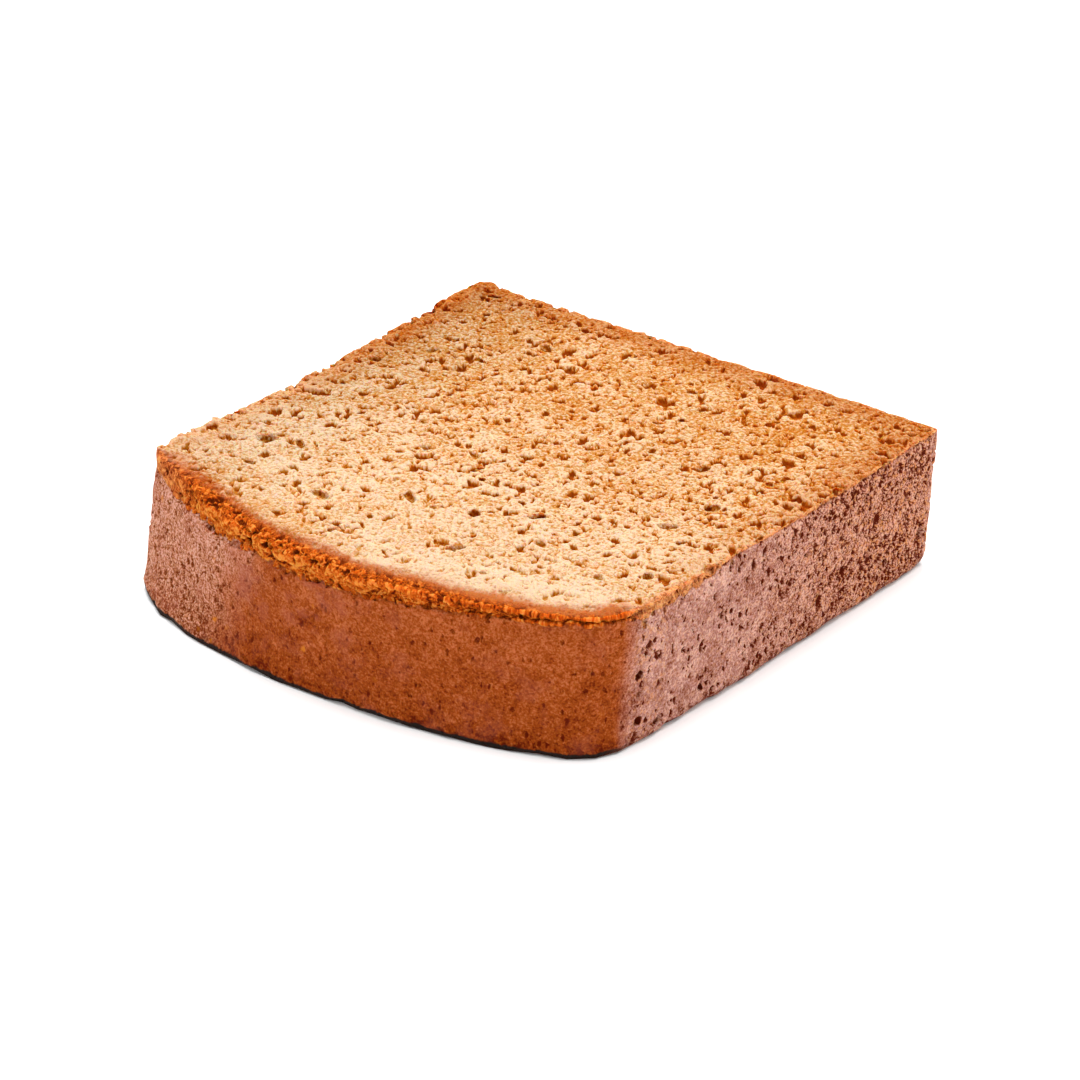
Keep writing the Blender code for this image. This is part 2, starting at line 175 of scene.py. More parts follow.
class Graph:
    """Adds nodes to a shader or geometry tree and joins them up."""

    def __init__(self, tree):
        self.tree = tree

    def feed(self, socket, value):
        """Sets a socket to a value or links it to an output."""
        if isinstance(value, bpy.types.NodeSocket):
            self.tree.links.new(value, socket)
        else:
            socket.default_value = value

    def add(self, kind, inputs=None, **settings):
        """A new node, its inputs by name or number, and its settings."""
        node = self.tree.nodes.new(kind)
        for name, value in settings.items():
            setattr(node, name, value)
        for name, value in (inputs or {}).items():
            self.feed(node.inputs[name], value)
        return node

    def math(self, operation, a, b=0.0, c=0.0):
        """One sum on numbers."""
        return self.add("ShaderNodeMath", {0: a, 1: b, 2: c}, operation=operation).outputs[0]

    def product(self, *values):
        """The values multiplied."""
        product = values[0]
        for value in values[1:]:
            product = self.math("MULTIPLY", product, value)
        return product

    def rest(self, share):
        """What a share leaves of 1."""
        return self.math("SUBTRACT", 1.0, share)

    def vector(self, operation, a, b=(0.0, 0.0, 0.0)):
        """The outputs of one sum on vectors."""
        return self.add("ShaderNodeVectorMath", {0: a, 1: b}, operation=operation).outputs

    def scaled(self, vector, factor):
        """A vector times a number."""
        return self.add("ShaderNodeVectorMath", {0: vector, "Scale": factor},
                        operation="SCALE").outputs[0]

    def sum(self, a, b):
        """Two vectors added."""
        return self.vector("ADD", a, b)[0]

    def stretched(self, vector, factors):
        """A vector multiplied axis by axis."""
        return self.vector("MULTIPLY", vector, factors)[0]

    def shifted(self, place, layer):
        """The place, moved to where a layer reads its noise."""
        return self.sum(place, APART[layer])

    def parts(self, vector):
        """The x, y and z of a vector."""
        return self.add("ShaderNodeSeparateXYZ", {0: vector}).outputs

    def ramp(self, value, low, high, to_low=0.0, to_high=1.0):
        """A smooth step of a value between two limits."""
        limits = {"Value": value, "From Min": low, "From Max": high,
                  "To Min": to_low, "To Max": to_high}
        return self.add("ShaderNodeMapRange", limits, interpolation_type="SMOOTHSTEP").outputs[0]

    def clouds(self, place, size, detail=2.0, roughness=0.5):
        """Soft noise from 0 to 1, with features of a size in millimetres."""
        return self.add("ShaderNodeTexNoise", {"Vector": place, "Scale": 1 / size,
                        "Detail": detail, "Roughness": roughness}).outputs[0]

    def warped(self, place, size, reach):
        """The place, pushed about by noise of a size, as far as reach, in millimetres."""
        noise = self.add("ShaderNodeTexNoise", {"Vector": place, "Scale": 1 / size, "Detail": 1.0})
        centred = self.sum(noise.outputs["Color"], (-NOISE_MIDDLE,) * 3)
        return self.sum(place, self.scaled(centred, 2 * reach))

    def torn(self, place, size, shallow, deep, detail=2.0):
        """Ragged holes from 0 at their edge to 1, where noise of a size falls below two limits."""
        return self.ramp(self.clouds(place, size, detail), shallow, deep)

    def pits(self, place, size, share, widest):
        """Separate holes, 1 in their middle: such a share of the cells of a size holds one."""
        cells = self.add("ShaderNodeTexVoronoi", {"Vector": place, "Scale": 1 / size})
        chance = self.parts(cells.outputs["Color"])[0]
        radius = self.ramp(chance, self.math("SUBTRACT", 1.0, share), 1.0, 0.0, widest)
        outside = self.math("SUBTRACT", cells.outputs["Distance"], radius)
        return self.ramp(outside, 0.0, -PIT_SLOPE)

    def curds(self, place, size):
        """Rounded crumbs of a size: 0 in the cracks between them, 1 on their tops."""
        cells = self.add("ShaderNodeTexVoronoi", {"Vector": place, "Scale": 1 / size})
        return self.ramp(cells.outputs["Distance"], *CURD_SLOPE)

    def shades(self, tone, *colours):
        """A colour from evenly spaced ones, by a tone from 0 to 1."""
        node = self.add("ShaderNodeValToRGB", {0: tone})
        stops = node.color_ramp.elements
        for number in range(1, len(colours) - 1):
            stops.new(number / (len(colours) - 1))
        for stop, colour in zip(stops, colours):
            stop.color = (*colour, 1.0)
        return node.outputs["Color"]

    def total(self, start, *terms):
        """A start value plus each term times its weight."""
        for value, weight in terms:
            start = self.math("MULTIPLY_ADD", value, weight, start)
        return start

    def between(self, share, a, b):
        """A number between two."""
        return self.add("ShaderNodeMix", {0: share, 2: a, 3: b}, data_type="FLOAT").outputs[0]

    def most(self, *values):
        """The largest of the values."""
        most = values[0]
        for value in values[1:]:
            most = self.math("MAXIMUM", most, value)
        return most

    def blend(self, share, a, b, kind="MIX"):
        """A colour between two, or with MULTIPLY the first tinted by the second."""
        mix = self.add("ShaderNodeMix", {0: share}, data_type="RGBA", blend_type=kind)
        for number, colour in ((6, a), (7, b)):
            if not isinstance(colour, bpy.types.NodeSocket):
                colour = (*colour, 1.0)[:4]
            self.feed(mix.inputs[number], colour)
        return mix.outputs[2]

    def tinted(self, colour, tint, share):
        """A colour tinted by another, to a share."""
        return self.blend(share, colour, tint, "MULTIPLY")


# How wide the features of each layer are, in mm.
LARGE_PORES, MIDDLE_PORES, FINE_PORES, CURDS = 2.5, 1.15, 0.62, 0.75
TEARS, SMALL_TEARS, NODULES = 1.7, 0.8, 0.9
COARSE_PITS, DEEPEST_PITS, FINE_PITS = 1.35, 3.1, 0.72
GRAIN, GRIT, BLOTCHES, SPECKS = 0.5, 0.34, 3.0, 0.7

# Shifts, in mm, that set layers of the same noise apart.
APART = {
    "middle pores": (17.0, 5.0, 9.0), "fine pores": (3.0, 41.0, 7.0),
    "small tears": (5.0, 11.0, 2.0), "nodules": (31.0, 7.0, 3.0),
    "deepest pits": (9.0, 4.0, 2.0), "fine pits": (7.0, 3.0, 21.0),
    "grit": (21.0, 2.0, 33.0), "blotches": (9.0, 3.0, 0.0), "specks": (0.0, 13.0, 5.0),
}

# Places on the tin side, in mm from the slice's middle towards the base.
SHOULDER_COLUMN = -29.0  # a column of deep pits
SCAR = 22.0  # an upright line of them
SCAR_LEAN = 0.1
BASE_STRIP = (45.5, 48.5)  # over which they thin out again


class Surface:
    """What both node trees know of a point of the slice, from what mark_edges keeps there."""

    def __init__(self, graph, attribute):
        self.place = graph.scaled(attribute("rest"), 1 / MM)
        self.across, self.depth, self.height = graph.parts(self.place)
        self.down, self.up, self.width = graph.parts(attribute("edge"))
        self.crown, self.along, self.inward = graph.parts(attribute("side"))
        self.tin = graph.rest(self.crown)
        self.band, self.crust, self.lower = zones(graph, self)


def zones(graph, at):
    """Shares of torn band and crust, and of all but the lower face.

    The band starts inside the rim, further in where it is wide and less far in towards -X. Where
    it is wide, its lower edge is the more ragged.
    """
    ragged = graph.math("SUBTRACT", graph.clouds(at.place, 1.9, 3.0), NOISE_MIDDLE)
    inner = graph.total(-1.0, (at.width, -0.45))
    inner = graph.math("ADD", inner, graph.ramp(at.along, 0.2, 0.06))
    band = graph.ramp(graph.total(at.down, (ragged, 1.6)), inner, graph.math("ADD", inner, 1.9))
    waves = graph.product(at.width, 1.3, ragged)
    past = graph.math("SUBTRACT", graph.math("ADD", at.down, waves), at.width)
    lower = graph.ramp(graph.total(at.up, (ragged, 1.2)), -1.4, -0.8)
    return band, graph.product(graph.ramp(past, -0.2, 0.2), lower), lower


def crumb_layers(graph, at):
    """The crumb's pores from large to fine and its curds, each from 0 to 1.

    The pores are weaker where the crumb rolls over the crown's edge, and a little weaker towards
    the crown.
    """
    lip = graph.product(at.crown, graph.ramp(at.along, 0.1, 0.35), graph.ramp(at.inward, 9.0, 2.5))
    open_share = graph.product(
        graph.total(1.0, (lip, -0.75)), graph.ramp(at.depth, -38.0, -6.0, 0.78, 1.0))
    wild = graph.warped(at.place, 1.7, 0.55)
    large = graph.product(graph.torn(wild, LARGE_PORES, 0.405, 0.36), open_share)
    middle = graph.torn(graph.shifted(wild, "middle pores"), MIDDLE_PORES, 0.42, 0.34)
    fine = graph.clouds(graph.shifted(at.place, "fine pores"), FINE_PORES, 1.0)
    fine = graph.between(lip, fine, graph.total(0.3, (fine, 0.4)))
    curds = graph.curds(graph.warped(at.place, 0.6, 0.25), CURDS)
    return large, graph.product(middle, open_share), fine, curds


def band_layers(graph, at):
    """The torn band's pits and its golden nodules, each from 0 to 1."""
    wild = graph.warped(at.place, 1.4, 0.6)
    small = graph.torn(graph.shifted(wild, "small tears"), SMALL_TEARS, 0.45, 0.3)
    pits = graph.most(graph.torn(wild, TEARS, 0.45, 0.33), graph.product(small, 0.7))
    nodules = graph.clouds(graph.shifted(wild, "nodules"), NODULES, 1.0)
    return pits, graph.ramp(nodules, 0.48, 0.64)


def lower_fringe(graph, at):
    """1 along the lower part of the crown's torn band, where it ends in golden crumbs."""
    share = graph.math("DIVIDE", at.down, at.width)
    start = graph.total(-0.62, (at.width, 0.17))
    upper = graph.ramp(share, start, graph.math("ADD", start, 0.4))
    return graph.product(upper, graph.ramp(share, 1.2, 0.95), at.crown)


def off_shoulder(graph, at):
    """How far a point is, in mm, from the column of pits by the shoulder."""
    return graph.math("ABSOLUTE", graph.math("ADD", at.depth, -SHOULDER_COLUMN))


def crust_layers(graph, at):
    """The crust's coarse pits and its fine pits, each from 0 to 1.

    On the tin side the pits are upright and crowd towards the base, but for its last strip. Deep
    ones stand in a column by the shoulder and along a leaning line, the scar. On the crown they
    are faint, and fine ones crowd at its paler end. All round the foot the crust is ragged.
    """
    left = graph.product(graph.ramp(at.along, 0.36, 0.2), at.crown)
    crowding = graph.product(graph.ramp(at.depth, -12.0, 30.0),
                             graph.ramp(at.depth, *BASE_STRIP, 1.0, 0.4), at.tin)
    shoulder = graph.product(graph.ramp(off_shoulder(graph, at), 4.5, 2.0), at.tin)
    scar = graph.math("ABSOLUTE", graph.total(-SCAR, (at.depth, 1.0), (at.height, -SCAR_LEAN)))
    scar = graph.product(graph.ramp(scar, 2.4, 0.8), at.tin)
    wild = graph.warped(graph.warped(at.place, 1.3, 0.4), 0.5, 0.18)
    upright = graph.stretched(wild, (1.0, 1.0, 0.6))
    share = graph.total(0.04, (crowding, 0.3), (at.tin, 0.14), (shoulder, 0.7), (scar, 0.45))
    coarse = graph.pits(upright, COARSE_PITS, share, 0.5)
    deep_share = graph.total(0.0, (at.tin, 0.06), (crowding, 0.03), (shoulder, 0.9), (scar, 0.4))
    deepest = graph.pits(graph.shifted(upright, "deepest pits"), DEEPEST_PITS, deep_share, 0.42)
    coarse = graph.most(graph.product(coarse, graph.total(0.25, (at.tin, 0.5))), deepest)
    fine_share = graph.total(0.16, (crowding, 1.0), (at.tin, 0.24), (left, 0.6))
    fine = graph.pits(graph.shifted(upright, "fine pits"), FINE_PITS, fine_share, 0.62)
    ragged = graph.torn(graph.warped(at.place, 1.5, 0.5), 1.6, 0.52, 0.36)
    foot = graph.product(graph.ramp(at.height, 3.6, 0.3), 0.8)
    coarse = graph.most(coarse, graph.product(ragged, foot))
    return coarse, graph.product(fine, graph.total(1.0, (at.crown, -0.35)))


MERGE_DISTANCE = 1e-6  # metres


def duplicate_solid():
    """A copy of the frame's slice as the start of the visible piece, its doubles merged."""
    bpy.ops.object.select_all(action="DESELECT")
    source = bpy.data.objects[SOLID]
    source.select_set(True)
    bpy.context.view_layer.objects.active = source
    bpy.ops.object.duplicate()
    piece = bpy.context.view_layer.objects.active
    piece.name = piece.data.name = "banana_bread"
    piece.data.materials.clear()
    bpy.ops.object.mode_set(mode="EDIT")
    bpy.ops.mesh.select_all(action="SELECT")
    bpy.ops.mesh.remove_doubles(threshold=MERGE_DISTANCE)
    bpy.ops.object.mode_set(mode="OBJECT")
    return piece


def apply_modifier(piece, kind, name, **settings):
    """Adds a modifier with its settings and applies it."""
    bpy.ops.object.modifier_add(type=kind)
    modifier = piece.modifiers[-1]
    modifier.name = name
    for setting, value in settings.items():
        setattr(modifier, setting, value)
    bpy.ops.object.modifier_apply(modifier=modifier.name)


def coordinates(mesh):
    """All the points of a mesh, as an array."""
    data = np.empty(len(mesh.vertices) * 3, np.float32)
    mesh.vertices.foreach_get("co", data)
    return data.reshape(-1, 3)


OUTLINE_STEPS = 900
OUTLINE_HEIGHTS = (5 * MM, 19 * MM)  # both clear of the rounded edges
LEVEL_REACH = 0.6 * MM  # how near a height a point counts as being at it
TANGENT_STEPS = 4  # to each side, over which the outline's direction is taken
CROWN_FACING = (0.15, 0.42)  # how far a wall faces -Y where the crown starts and is full


def outline_at(points, height):
    """The slice's outline at a height: places and outward directions, by turn about its middle."""
    level = points[np.abs(points[:, 2] - height) < LEVEL_REACH]
    turns = np.arctan2(level[:, 1], level[:, 0])
    steps = ((turns + math.pi) / (2 * math.pi) * OUTLINE_STEPS).astype(int) % OUTLINE_STEPS
    reach = np.zeros(OUTLINE_STEPS)
    np.maximum.at(reach, steps, np.hypot(level[:, 0], level[:, 1]))
    angles = (np.arange(OUTLINE_STEPS) + 0.5) / OUTLINE_STEPS * 2 * math.pi - math.pi
    places = np.stack([np.cos(angles), np.sin(angles)], 1) * reach[:, None]
    along = np.roll(places, -TANGENT_STEPS, 0) - np.roll(places, TANGENT_STEPS, 0)
    outward = np.stack([along[:, 1], -along[:, 0]], 1)
    return places, outward / np.linalg.norm(outward, axis=1, keepdims=True)


def smooth_share(value, low, high):
    """A smooth step of an array between two limits."""
    share = np.clip((value - low) / (high - low), 0, 1)
    return share * share * (3 - 2 * share)


def store_vector(mesh, name, values):
    """Keeps one vector for each point of the mesh, as an attribute."""
    attribute = mesh.attributes.new(name, "FLOAT_VECTOR", "POINT")
    attribute.data.foreach_set("vector", np.ascontiguousarray(values, np.float32).ravel())


def distance_in(points, height):
    """How far each point lies inside the outline at a height, and how much it is on the crown."""
    places, outward = outline_at(points, height)
    tree = kdtree.KDTree(len(places))
    for number, place in enumerate(places):
        tree.insert((*place, 0), number)
    tree.balance()
    nearest = np.array([tree.find((x, y, 0))[1] for x, y in points[:, :2]])
    inside = np.sum((places[nearest] - points[:, :2]) * outward[nearest], 1)
    return inside, smooth_share(-outward[nearest, 1], *CROWN_FACING)


# The torn band's width, by share of the way along the crown from -X.
BAND_NARROWS = (0.4, 1.0)
CORNER_END = 0.13  # of the narrower corner at -X
CORNER_SHARE, CORNER_GAIN = 0.62, 0.38  # of the full width at the corner, and gained after it
# The torn line on the tin side is wider towards the crown.
BITTEN_FROM, BITTEN_TO, BITTEN_GAIN = 6 * MM, 22 * MM, 3.5


def mark_edges(mesh, shape):
    """Marks each point with its place, its distances from the slice's edges and its side.

    rest holds the place in metres before any relief. edge holds, in millimetres, how far down
    the wall from the upper cut face the point lies, or minus how far in from the wall, the same
    up from the lower cut face, and the width of the torn band, which is narrower at the corner at
    -X and narrows again towards +X. side holds 1 on the crown and 0 on the other walls, how far
    along the crown the point lies as a share of it, from -X, and how far in from the wall in mm.
    """
    points = coordinates(mesh)
    low, high = OUTLINE_HEIGHTS
    low_in, low_crown = distance_in(points, low)
    high_in, high_crown = distance_in(points, high)
    level = (points[:, 2] - low) / (high - low)
    inward = low_in + (high_in - low_in) * level
    crown = low_crown + (high_crown - low_crown) * np.clip(level, 0, 1)
    along = np.clip((points[:, 0] - LOW[0]) / (HIGH[0] - LOW[0]), 0, 1)
    narrowing = (shape.band_narrow - shape.band_wide) * smooth_share(along, *BAND_NARROWS)
    width = shape.band_wide + narrowing
    width = width * (CORNER_SHARE + CORNER_GAIN * smooth_share(along, 0.0, CORNER_END))
    near_crown = smooth_share(-points[:, 1], BITTEN_FROM, BITTEN_TO) * (points[:, 0] > 0)
    bitten = 1 + BITTEN_GAIN * near_crown
    width = shape.side_tear * bitten * (1 - crown) + width * crown
    inside = np.maximum(inward, 0)
    upper = points[:, 2] > shape.top / 2
    down = shape.top - points[:, 2] - np.where(upper, inside, 0)
    up = points[:, 2] - np.where(upper, 0, inside)
    store_vector(mesh, "rest", points)
    store_vector(mesh, "edge", np.stack([down, up, width], 1) / MM)
    store_vector(mesh, "side", np.stack([crown, along, inward / MM], 1))


CAVITY_BLUR = 40  # steps of smoothing that a hollow is measured against
# Steep walls count as hollows so that they get the painted shade of a hollow.
STEEP_SHARE = 0.8  # how much a steep place counts as a hollow, as a depth in mm
FINE_PIT_SHARE = 0.6  # depth of the crust's fine pits over that of its coarse ones


def crumb_relief(graph, at, shape, normal):
    """How deep the crumb lies, in mm, on what faces up or lies at the foot."""
    large, middle, fine, curds = crumb_layers(graph, at)
    swell = graph.clouds(at.place, 4.5, 3.0)
    depth = graph.most(graph.product(large, shape.large_pore / MM),
                       graph.product(middle, shape.middle_pore / MM))
    depth = graph.total(depth, (swell, 0.9), (fine, -shape.fine_pore / MM), (curds, -0.08))
    facing_up = graph.ramp(graph.parts(normal)[2], 0.4, 0.9)
    level = graph.most(facing_up, graph.ramp(at.height, 2.5, 1.5))
    return graph.product(graph.math("SUBTRACT", depth, 0.2), level)


def band_relief(graph, at):
    """How deep the torn band lies, in mm. It is filled towards its lower edge."""
    pits, nodules = band_layers(graph, at)
    fringe = lower_fringe(graph, at)
    pits = graph.product(pits, graph.total(1.0, (fringe, -0.5)))
    depth = graph.total(-0.35, (pits, 0.85), (graph.clouds(at.place, 2.4, 3.0, 0.6), 1.1),
                        (nodules, -0.2))
    filling = graph.total(graph.ramp(at.along, 0.35, 0.7, 0.7, 0.66),
                          (graph.ramp(at.along, 0.7, 0.85), 0.22))
    depth = graph.math("SUBTRACT", depth, graph.product(fringe, filling))
    return graph.product(
        depth, graph.total(0.35, (at.crown, 0.65)), graph.ramp(at.along, 0.02, 0.3, 0.3, 1.0),
        graph.ramp(at.along, 0.4, 0.7, 1.0, 0.7))


def crust_relief(graph, at, shape):
    """How deep the crust lies, in mm.

    The wall flares at its foot, most on the crown and there towards -X, and is drawn in at -X.
    """
    coarse, fine = crust_layers(graph, at)
    depth = graph.most(graph.product(coarse, shape.crust_pit / MM),
                       graph.product(fine, shape.crust_pit / MM * FINE_PIT_SHARE))
    depth = graph.total(depth, (graph.clouds(at.place, 4.0, 2.0), 0.4))
    depth = graph.math("SUBTRACT", depth, 0.2)
    flare = graph.product(graph.ramp(at.height, 6.0, 0.0), graph.total(0.1, (at.crown, 0.6)))
    toe = graph.product(graph.ramp(at.along, 0.02, 0.1), graph.ramp(at.along, 0.55, 0.3),
                        graph.ramp(at.height, 8.0, 0.0), at.crown)
    heel = graph.product(graph.ramp(at.along, 0.06, 0.0), graph.ramp(at.height, 14.0, 4.0))
    return graph.total(depth, (flare, -0.8), (toe, -1.0), (heel, 0.5),
                       (graph.ramp(at.height, 0.9, 0.2), 0.35))


def rim_relief(graph, at):
    """How deep crumbs are broken out of the upper rim beside the crown, in mm, most towards -X."""
    near = graph.ramp(graph.math("ABSOLUTE", at.down), 2.2, 0.4)
    crumbled = graph.torn(graph.warped(at.place, 2.0, 0.8), 1.9, 0.5, 0.36)
    weight = graph.total(0.4, (graph.ramp(at.across, 10.0, -10.0), 0.5),
                         (graph.ramp(at.depth, 43.0, 47.0), -0.4))
    return graph.product(near, at.tin, crumbled), weight


def hollowness(graph, where, normal):
    """How far each point lies under the blurred surface, in mm, by which the colours paint shade. A
    steep place counts as deep.
    """

    def blurred(vector):
        node = graph.add("GeometryNodeBlurAttribute", data_type="FLOAT_VECTOR")
        values = [socket for socket in node.inputs if socket.enabled and socket.name == "Value"]
        graph.feed(values[0], vector)
        node.inputs["Iterations"].default_value = CAVITY_BLUR
        return next(socket for socket in node.outputs if socket.enabled)

    outward = graph.vector("NORMALIZE", blurred(normal))[0]
    rise = graph.vector("SUBTRACT", blurred(where), where)[0]
    cavity = graph.vector("DOT_PRODUCT", rise, outward)["Value"]
    facing = graph.add("GeometryNodeInputNormal").outputs[0]
    upright = graph.vector("DOT_PRODUCT", facing, outward)["Value"]
    return graph.total(STEEP_SHARE, (cavity, 1 / MM), (upright, -STEEP_SHARE))


def relief_tree(shape):
    """The geometry nodes that push the surface in and out, and mark its hollows."""
    tree = bpy.data.node_groups.new("Bread relief", "GeometryNodeTree")
    for way in ("INPUT", "OUTPUT"):
        tree.interface.new_socket("Geometry", in_out=way, socket_type="NodeSocketGeometry")
    graph = Graph(tree)
    incoming = graph.add("NodeGroupInput").outputs[0]

    def attribute(name):
        node = graph.add("GeometryNodeInputNamedAttribute", data_type="FLOAT_VECTOR")
        node.inputs["Name"].default_value = name
        return node.outputs["Attribute"]

    at = Surface(graph, attribute)
    normal = graph.add("GeometryNodeInputNormal").outputs[0]
    crumb = crumb_relief(graph, at, shape, normal)
    wall = graph.between(at.crust, band_relief(graph, at), crust_relief(graph, at, shape))
    depth = graph.between(at.band, crumb, wall)
    lower_face = graph.product(graph.math("MAXIMUM", crumb, 0.0), 0.7)
    depth = graph.between(at.lower, lower_face, depth)
    depth = graph.total(depth, rim_relief(graph, at))
    offset = graph.scaled(normal, graph.product(depth, -MM))
    moved = graph.add(
        "GeometryNodeSetPosition", {"Geometry": incoming, "Offset": offset}).outputs[0]

    where = graph.add("GeometryNodeInputPosition").outputs[0]
    on_floor = graph.vector("MAXIMUM", where, (-1.0, -1.0, 0.0))[0]
    moved = graph.add(
        "GeometryNodeSetPosition", {"Geometry": moved, "Position": on_floor}).outputs[0]
    kept = graph.add("GeometryNodeStoreNamedAttribute", {"Geometry": moved, "Name": "hollow"},
                     data_type="FLOAT", domain="POINT")
    graph.feed(kept.inputs["Value"], hollowness(graph, where, normal))
    graph.add("NodeGroupOutput", {0: kept.outputs[0]})
    return tree


GLOSS = 0.03
CRUMB_ROUGHNESS, CRUST_ROUGHNESS = 0.85, 0.6
CRUMB_GLOW, CRUST_GLOW = 0.8, 0.35  # shares of light that goes under the surface
GLOW_REACH = (1.0, 0.35, 0.12)  # of red, green and blue
GLOW_SCALE = 1.5 * MM


class Texture:
    """What the colours share: painted shade by how hollow a point is, painted highlight by how
    raised it is, its grit and the crumb's layers.
    """

    def __init__(self, graph, at, hollow):
        # Painted shade in hollows and on steep walls, and painted highlight on raised parts.
        self.hollow_shade = graph.ramp(hollow, 0.02, 0.75)
        self.raised_highlight = graph.ramp(hollow, -0.05, -0.45)
        self.grit = graph.clouds(graph.shifted(at.place, "grit"), GRIT, 1.0)
        self.grain = graph.clouds(at.place, GRAIN, 3.0, 0.6)
        self.large, self.middle, self.fine, self.curds = crumb_layers(graph, at)


def crumb_colour(graph, at, texture, colours):
    """The crumb: painted shade in its pores, painted highlight on its tops, darker towards the
    base, toasted near the crust.
    """
    rear = graph.ramp(at.depth, -40.0, 46.0)
    front = graph.product(at.crown, graph.ramp(at.inward, 16.0, 6.0))
    # The tone paints shade into the pores, the cracks between curds and the hollows, and highlight
    # on raised parts.
    tone = graph.total(
        -0.77, (texture.fine, 1.35), (texture.curds, 0.25), (texture.grit, 1.2),
        (graph.clouds(at.place, 6.0, 2.0), 0.7), (texture.raised_highlight, 0.3), (texture.large, -0.3),
        (texture.middle, -0.25), (texture.hollow_shade, -0.85), (rear, -0.3),
        (graph.product(front, graph.ramp(at.along, 0.2, 0.7, -0.22, 0.19)), 1.0),
        (graph.product(front, graph.ramp(at.along, 0.16, 0.06)), 0.2))
    paler = graph.product(graph.math("SUBTRACT", 0.8, tone), graph.ramp(at.depth, -6.0, -34.0))
    tone = graph.total(tone, (paler, 0.25))
    crumb = graph.shades(tone, colours.crumb_deep, colours.crumb_brown, colours.crumb_tan,
                         colours.crumb_pale, colours.crumb_light)
    crumb = graph.tinted(crumb, colours.rear, rear)

    ragged = graph.total(-3.0, (graph.clouds(at.place, 1.8, 3.0), 3.4), (texture.fine, 2.6))
    reach = graph.math("ADD", at.inward, ragged)
    shaded = graph.product(graph.ramp(at.along, 0.38, 0.08),
                           graph.ramp(at.depth, -45.0, 30.0, 0.5, 1.0), graph.ramp(reach, 1.0, 7.0))
    crumb = graph.tinted(crumb, colours.shade, shaded)
    lip = graph.product(at.crown, graph.ramp(at.along, 0.02, 0.16, 0.5, 0.92),
                        graph.ramp(reach, graph.ramp(at.along, 0.35, 0.1, 5.2, 6.0), 2.4))
    outer = graph.product(graph.ramp(at.along, 0.2, 0.02), graph.ramp(at.depth, -50.0, -15.0))
    margin = graph.product(graph.ramp(reach, 11.0, 1.5),
                           graph.total(0.12, (rear, 0.55), (outer, 0.25)), graph.rest(lip))
    crumb = graph.tinted(crumb, colours.margin, margin)
    crumb = graph.tinted(crumb, colours.toast, lip)
    scorched = graph.product(
        graph.ramp(reach, 2.6, 0.2), graph.ramp(at.along, 0.6, 0.15, 0.35, 1.0), at.crown)
    return graph.tinted(crumb, colours.scorch, scorched)


def band_colour(graph, at, texture, colours):
    """The torn band: orange with golden nodules, duller on the other sides and towards -X."""
    pits, nodules = band_layers(graph, at)
    upper_tin = graph.product(at.tin, graph.ramp(at.height, 20.0, 25.0))
    fringe = graph.product(lower_fringe(graph, at), graph.ramp(at.along, 0.5, 0.8, 0.24, 0.05))
    # The tone paints shade into the band's hollows and highlight on its raised parts.
    tone = graph.total(
        -0.34, (nodules, 0.45), (pits, -0.5), (texture.hollow_shade, -0.2), (texture.raised_highlight, 0.15),
        (upper_tin, 0.28), (texture.grit, 1.25), (texture.curds, 0.15), (fringe, 1.0),
        (graph.ramp(at.along, 0.3, 0.1), -0.1), (graph.ramp(at.along, 0.4, 0.65), -0.1))
    dull = graph.most(at.tin, graph.ramp(at.along, 0.17, 0.04, 0.0, 0.5))
    return graph.blend(
        dull, graph.shades(tone, colours.band_deep, colours.band_orange, colours.band_gold),
        graph.shades(tone, colours.band_deep, colours.rim_tan, colours.rim_light))


def crown_colour(graph, at, crust, colours):
    """The crown: paler and mauve at its end towards -X, as painted sheen, with patches of painted
    sheen and golden spots.
    """
    across = graph.total(-4.0, (at.along, WIDTH), (at.height, -0.45), (crust.cloudy, 16.0))
    left = graph.ramp(across, 34.0, 18.0)
    tone = graph.total(
        0.36, (crust.texture, 1.05), (at.height, 0.012), (crust.coarse, -0.6), (crust.fine, -0.5),
        (graph.product(crust.gritty, graph.total(1.0, (left, 1.5))), 1.0))
    # Towards -X the crown takes its paler mauve colours, which are painted sheen.
    crown = graph.blend(
        left, graph.shades(tone, colours.crown_deep, colours.crown_brown, colours.crown_light),
        graph.shades(tone, colours.left_deep, colours.left_brown_and_sheen, colours.left_light_and_sheen))
    # Patches of painted sheen in mauve.
    sheen_patches = graph.product(graph.ramp(at.along, 0.24, 0.32), graph.ramp(at.along, 0.6, 0.42),
                            graph.ramp(at.height, 9.0, 15.0))
    hues = graph.clouds(at.place, 5.5, 4.0, 0.6)
    sheen_patches = graph.product(graph.total(0.22, (sheen_patches, 0.35)), graph.ramp(hues, 0.48, 0.64))
    crown = graph.blend(sheen_patches, crown, colours.mauve_sheen)
    wild = graph.shifted(graph.warped(at.place, 0.9, 0.35), "blotches")
    golden = graph.product(graph.pits(wild, BLOTCHES, 0.6, 0.27),
                           graph.ramp(at.along, 0.62, 0.42, 0.15, 0.85))
    return graph.blend(golden, crown, colours.crown_gold)


